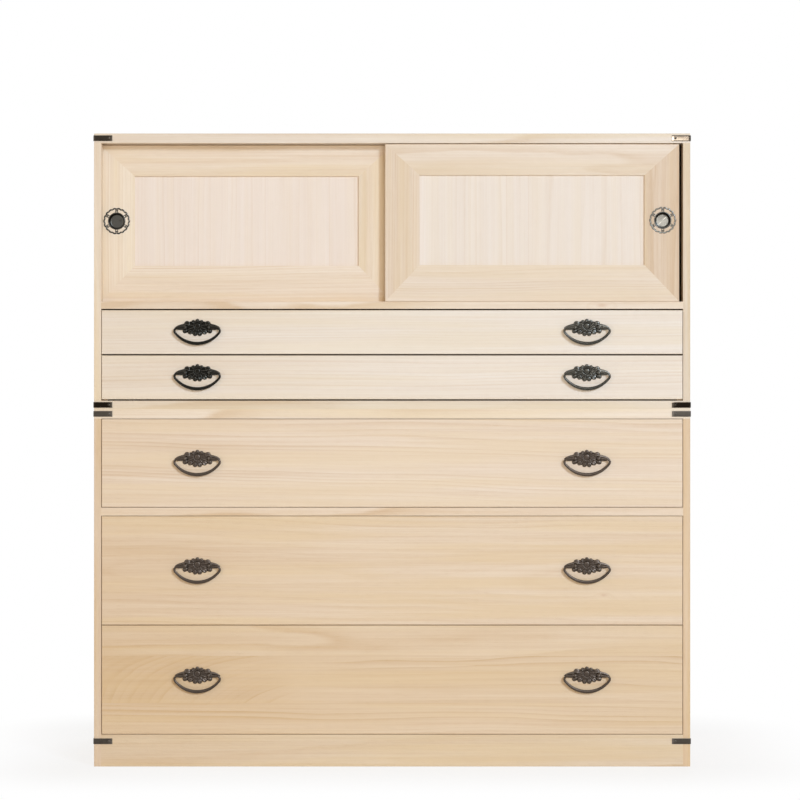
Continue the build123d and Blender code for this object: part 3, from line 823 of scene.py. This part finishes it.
def pull(centre):
    """A round cup with a rolled lip, six beaded spokes and a wavy rim, on a door's face.

    Heights are in front of the face. The cup's wall meets its floor in a quarter circle.
    """
    hollow = arc((BOWL_RADIUS - 3.2, -BOWL_DEPTH + BOWL_FILLET), BOWL_FILLET, -90, 0, 8)
    lip = arc((BOWL_RADIUS + 0.7, 0.3), LIP_RADIUS, 180, 0, 12)
    level = [(radius, -BOWL_DEPTH) for radius in (0.4, 5, BOWL_RADIUS - 3.6, BOWL_RADIUS - 3.3)]
    wall = BOWL_RADIUS + LIP_RADIUS
    outside = [(BOWL_RADIUS + 1.7, 0.0), (wall, -0.1), (wall, -BOWL_BACK), (0.4, -BOWL_BACK)]
    cup = np.vstack([level, hollow, lip, outside])
    shells = [turned(cup, centre, (0, -1, 0), around=96)]

    turn = full_turn(216)
    scallop = np.abs(np.cos(turn * SCALLOPS / 2))
    reach = RIM_RADIUS + SCALLOP_DEPTH * scallop
    rim = np.stack([reach * np.cos(turn), 0 * turn - 0.5, reach * np.sin(turn)], axis=1)
    shells.append(tube(rim + centre, 1.0 + 0.25 * scallop, 0.65, (0, 1, 0), 12, True))
    for spoke in range(SPOKES):
        angle = math.radians((spoke + 0.5) * 360 / SPOKES)
        out = np.array([math.cos(angle), 0, math.sin(angle)])
        side = np.array([-math.sin(angle), 0, math.cos(angle)])
        for hand in HANDS:
            run = np.linspace(*SPOKE_REACH, 8)[:, None]
            sway = hand * (1.75 + 0.25 * np.cos((run - 17.6) * 0.9))
            path = centre + run * out + sway * side + (0, -0.45, 0)
            shells.append(tube(path, 0.55, 0.5, (0, 1, 0), 10))
        shells.append(dome(centre + 17.5 * out, (0, -1, 0), 1.25, 0.95, sunk=0.05))
    return shells


def dress_pulls(finish):
    """One pull in each door's closing stile."""
    for side in SIDES:
        node = f"{side}_door_pull"
        low, high = (np.array(corner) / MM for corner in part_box(node))
        centre = (low + high) / 2
        centre[1] = low[1] + PULL_PLATE
        made = piece(f"{side}_door_openwork_pull", pull(centre), f"{side}_door", finish, node)


# ---------------------------------------------------------------- corner irons
IRON_LEG = 30.7
IRON_HEIGHT = 9.5
IRON_THICKNESS = 1.2
IRON_BEND = 1.6
NAIL_INSET = 5.5
NAIL = dict(radius=2.1, height=0.9, sunk=1.0)


def corner_iron(hand, level):
    """A strap bent round one front corner at a level, and its two round-headed nails."""
    middle = IRON_THICKNESS / 2
    corner_x = half_width + middle
    corner_y = front - middle
    run = np.linspace(half_width - IRON_LEG, corner_x - IRON_BEND, 10)
    bend = arc((corner_x - IRON_BEND, corner_y + IRON_BEND), IRON_BEND, -90, 0, 9)
    back = np.linspace(corner_y + IRON_BEND, front + IRON_LEG, 10)
    front_leg = np.stack([run, 0 * run + corner_y], axis=1)
    side_leg = np.stack([0 * back + corner_x, back], axis=1)
    flat = np.vstack([front_leg, bend[1:-1], side_leg])
    path = np.stack([hand * flat[:, 0], flat[:, 1], np.full(len(flat), level)], axis=1)
    strap = tube(path, middle, IRON_HEIGHT / 2, (0, 0, 1), 24, squareness=0.28)
    nail_x = hand * (half_width - IRON_LEG + NAIL_INSET)
    front_at = np.array([nail_x, front - IRON_THICKNESS, level])
    side_y = front + IRON_LEG - NAIL_INSET
    side_at = np.array([hand * (half_width + IRON_THICKNESS), side_y, level])
    return [strap, dome(front_at, (0, -1, 0), **NAIL), dome(side_at, (hand, 0, 0), **NAIL)]


def dress_corners(dark, grey):
    """Four irons on each case, at the levels of its lowest and highest."""
    for case, finish in (("lower", grey), ("upper", dark)):
        low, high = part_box(f"{case}_corner_irons")
        levels = (low.z / MM + IRON_HEIGHT / 2, high.z / MM - IRON_HEIGHT / 2)
        shells = [shell for level in levels for hand in HANDS for shell in corner_iron(hand, level)]
        name = f"{case}_corner_straps"
        made = piece(name, shells, f"{case}_case", finish, f"{case}_corner_irons")


# ---------------------------------------------------------------- stage, light and camera
AMBIENT = (0.4, 0.3, 0.17, 1.0)
WHITE = (1, 1, 1, 1)
CHEST_MIDDLE = (0.0, front * MM, 0.55)
FLOOR_RADII = (0.05, 1.0, 2.0, 3.0, 4.0)
FLOOR_SIDES = 96
FLOOR_DROP = 0.0005  # how far the floor lies below the feet of the chest, so that they don't coincide
NEAR_WHITE = 0.8  # share of plain white in the floor beside the chest. The rest is matt and takes its shadow
COOL = (0.612, 0.773, 1.0)
COOLER = (0.6, 0.76, 1.0)
WARM = (1.0, 0.9, 0.78)


def dress_world():
    """Soft ambient light, and a white background for the camera and for reflections."""
    world = bpy.data.worlds.new("studio")
    bpy.context.scene.world = world
    world.use_nodes = True
    tree = world.node_tree
    tree.nodes.clear()
    ray = tree.nodes.new("ShaderNodeLightPath")
    either = tree.nodes.new("ShaderNodeMath")
    either.operation = "MAXIMUM"
    seen = tree.nodes.new("ShaderNodeMath")
    seen.operation = "MAXIMUM"
    tree.links.new(ray.outputs["Is Camera Ray"], either.inputs[0])
    tree.links.new(ray.outputs["Is Glossy Ray"], either.inputs[1])
    tree.links.new(either.outputs[0], seen.inputs[0])
    tree.links.new(ray.outputs["Is Transmission Ray"], seen.inputs[1])
    ambient = tree.nodes.new("ShaderNodeBackground")
    ambient.inputs["Color"].default_value = AMBIENT
    white = tree.nodes.new("ShaderNodeBackground")
    white.inputs["Color"].default_value = WHITE
    blend = tree.nodes.new("ShaderNodeMixShader")
    tree.links.new(seen.outputs[0], blend.inputs[0])
    tree.links.new(ambient.outputs[0], blend.inputs[1])
    tree.links.new(white.outputs[0], blend.inputs[2])
    end = tree.nodes.new("ShaderNodeOutputWorld")
    tree.links.new(blend.outputs[0], end.inputs["Surface"])


def lay_floor():
    """A round white floor of flat rings, which keeps a faint shadow of the chest near it."""
    turn = full_turn(FLOOR_SIDES)
    radius = np.array(FLOOR_RADII)[:, None]
    rings = np.stack([radius * np.cos(turn), radius * np.sin(turn), 0 * radius * turn], axis=-1)
    here = np.arange(len(FLOOR_RADII) - 1)[:, None] * FLOOR_SIDES
    there = here + FLOOR_SIDES
    step = np.arange(FLOOR_SIDES)[None, :]
    after = (step + 1) % FLOOR_SIDES
    quads = np.stack([here + step, there + step, there + after, here + after], axis=-1).reshape(-1, 4)
    mesh = bpy.data.meshes.new("floor")
    middle = list(range(FLOOR_SIDES))
    mesh.from_pydata(rings.reshape(-1, 3).tolist(), [], quads.tolist() + [middle])
    floor = bpy.data.objects.new("floor", mesh)
    bpy.context.scene.collection.objects.link(floor)
    floor.location.z = -FLOOR_DROP
    finish = Finish("floor_white")
    x, y, _ = finish.place()
    beside = finish.math("MAXIMUM", finish.math("ABSOLUTE", x) - 0.5, 0.0)
    before = finish.math("MAXIMUM", finish.math("ABSOLUTE", y) - 0.22, 0.0)
    away = finish.math("SQRT", beside * beside + before * before)
    mottle = finish.noise(x * 3, y * 3, 0.0)
    colour = finish.mix(mottle, (0.86, 0.86, 0.86, 1), (0.9, 0.9, 0.9, 1))
    matt = finish.node("ShaderNodeBsdfDiffuse", None, {"Color": colour})
    glow = finish.node("ShaderNodeEmission", None, {"Color": WHITE, "Strength": 1.0})
    ray = finish.node("ShaderNodeLightPath", output="Is Camera Ray")
    seen = finish.math("MAXIMUM", ray, ray.other("Is Glossy Ray"))
    seen = finish.math("MAXIMUM", seen, ray.other("Is Transmission Ray"))
    share = seen * (NEAR_WHITE + finish.ease(away, 0.02, 0.3) * (1 - NEAR_WHITE))
    shader = finish.node("ShaderNodeMixShader", None, {0: share, 1: matt, 2: glow})
    finish.node_output(shader)
    mesh.materials.append(finish.material)


def lamp(name, azimuth, elevation, distance, width, height, power, colour=WHITE[:3]):
    """A soft rectangular lamp that faces the chest.

    azimuth is in degrees to the right of the front, elevation in degrees above level, lengths in
    metres and power in watts.
    """
    data = bpy.data.lights.new(name, "AREA")
    data.shape = "RECTANGLE"
    data.size = width
    data.size_y = height
    data.energy = power
    data.color = colour
    light = bpy.data.objects.new(name, data)
    bpy.context.scene.collection.objects.link(light)
    turn = math.radians(azimuth)
    lift = math.radians(elevation)
    away = (math.sin(turn) * math.cos(lift), -math.cos(turn) * math.cos(lift), math.sin(lift))
    light.location = [at + distance * step for at, step in zip(CHEST_MIDDLE, away)]
    light.rotation_euler = (math.pi / 2 - lift, 0, turn)


FRAME_WIDTH = 1.3416  # what the picture spans at the plane of the drawer faces, in metres
CAMERA_DISTANCE = 4.0
CAMERA_RIGHT = 0.0132
CAMERA_HEIGHT = 0.6146


def set_camera():
    """A long lens at mid height, square to the front."""
    data = bpy.data.cameras.new("camera")
    data.sensor_width = 36
    data.lens = data.sensor_width * CAMERA_DISTANCE / FRAME_WIDTH
    camera = bpy.data.objects.new("camera", data)
    bpy.context.scene.collection.objects.link(camera)
    camera.location = (CAMERA_RIGHT, front * MM - CAMERA_DISTANCE, CAMERA_HEIGHT)
    camera.rotation_euler = (math.pi / 2, 0, 0)
    bpy.context.scene.camera = camera


# ---------------------------------------------------------------- put together
dress_fronts()
dress_doors()
dress_case()
dress_insides()

# hollows, body, ridges and roughness of each casting
tray_iron = (tint(12, 11, 9), tint(33, 31, 27), tint(146, 142, 132), 0.2)
drawer_iron = (tint(50, 41, 35), tint(76, 66, 58), tint(118, 107, 96), 0.3)
pull_bronze = (tint(30, 22, 12), tint(80, 78, 73), tint(150, 147, 138), 0.21)
upper_iron = (tint(32, 26, 20), tint(58, 52, 45), tint(92, 84, 74), 0.1)
lower_iron = (tint(54, 48, 42), tint(72, 66, 59), tint(102, 94, 86), 0.35)

fine = dict(bends=FINE_BENDS)
# Tray castings are painted paler towards the chest's right end as a painted reflection; all castings get
# painted light from above and, on their ridges, partly painted highlight.
plate_irons = {
    "dark": iron("tray_plate_iron", *tray_iron, ridge_wear_and_highlight=0.18, upper=0.03, painted_right_sheen=0.1, paler=1.4, **fine),
    "brown": iron("drawer_plate_iron", *drawer_iron, ridge_wear_and_highlight=0.4, upper=0.1, **fine),
}
bail_irons = {
    "dark": iron("tray_bail_iron", *tray_iron, ridge_wear_and_highlight=0.06, upper=0.06, painted_right_sheen=0.3),
    "brown": iron("drawer_bail_iron", *drawer_iron, ridge_wear_and_highlight=0.1, upper=0.12),
}
dress_handles(plate_irons, bail_irons)
# The pulls' finish: slight wear, painted light from above, a painted reflection towards the right end and
# painted shade on the cup's walls and rim sides.
pull_wear_and_painted_light = dict(relief=0.015, ridge_wear_and_highlight=0.05, upper=0.02, painted_right_sheen=0.4, side_shade_and_dulling=0.9)
dress_pulls(iron("pull_bronze", *pull_bronze, **pull_wear_and_painted_light))
# The upper straps are painted darker at the foot of their case: painted shade.
dress_corners(
    iron("upper_strap_iron", *upper_iron, relief=0.006, painted_low_shade=True),
    iron("lower_strap_iron", *lower_iron),
)

dress_world()
lay_floor()
set_camera()
lamp("key_light", 29, 20, distance=14.0, width=2.2, height=2.2, power=1039, colour=COOL)
lamp("small_light", 13.3, 11.2, distance=4.1, width=0.36, height=0.46, power=17.6)
lamp("fill_light", -35, 10, distance=3.8, width=2.0, height=1.6, power=11, colour=WARM)
lamp("side_light", -96, 18, distance=6.0, width=2.0, height=2.0, power=110, colour=COOLER)
lamp("back_light", 170, 30, distance=6.0, width=2.0, height=2.0, power=140, colour=COOLER)

bpy.context.scene.view_settings.view_transform = "Standard"
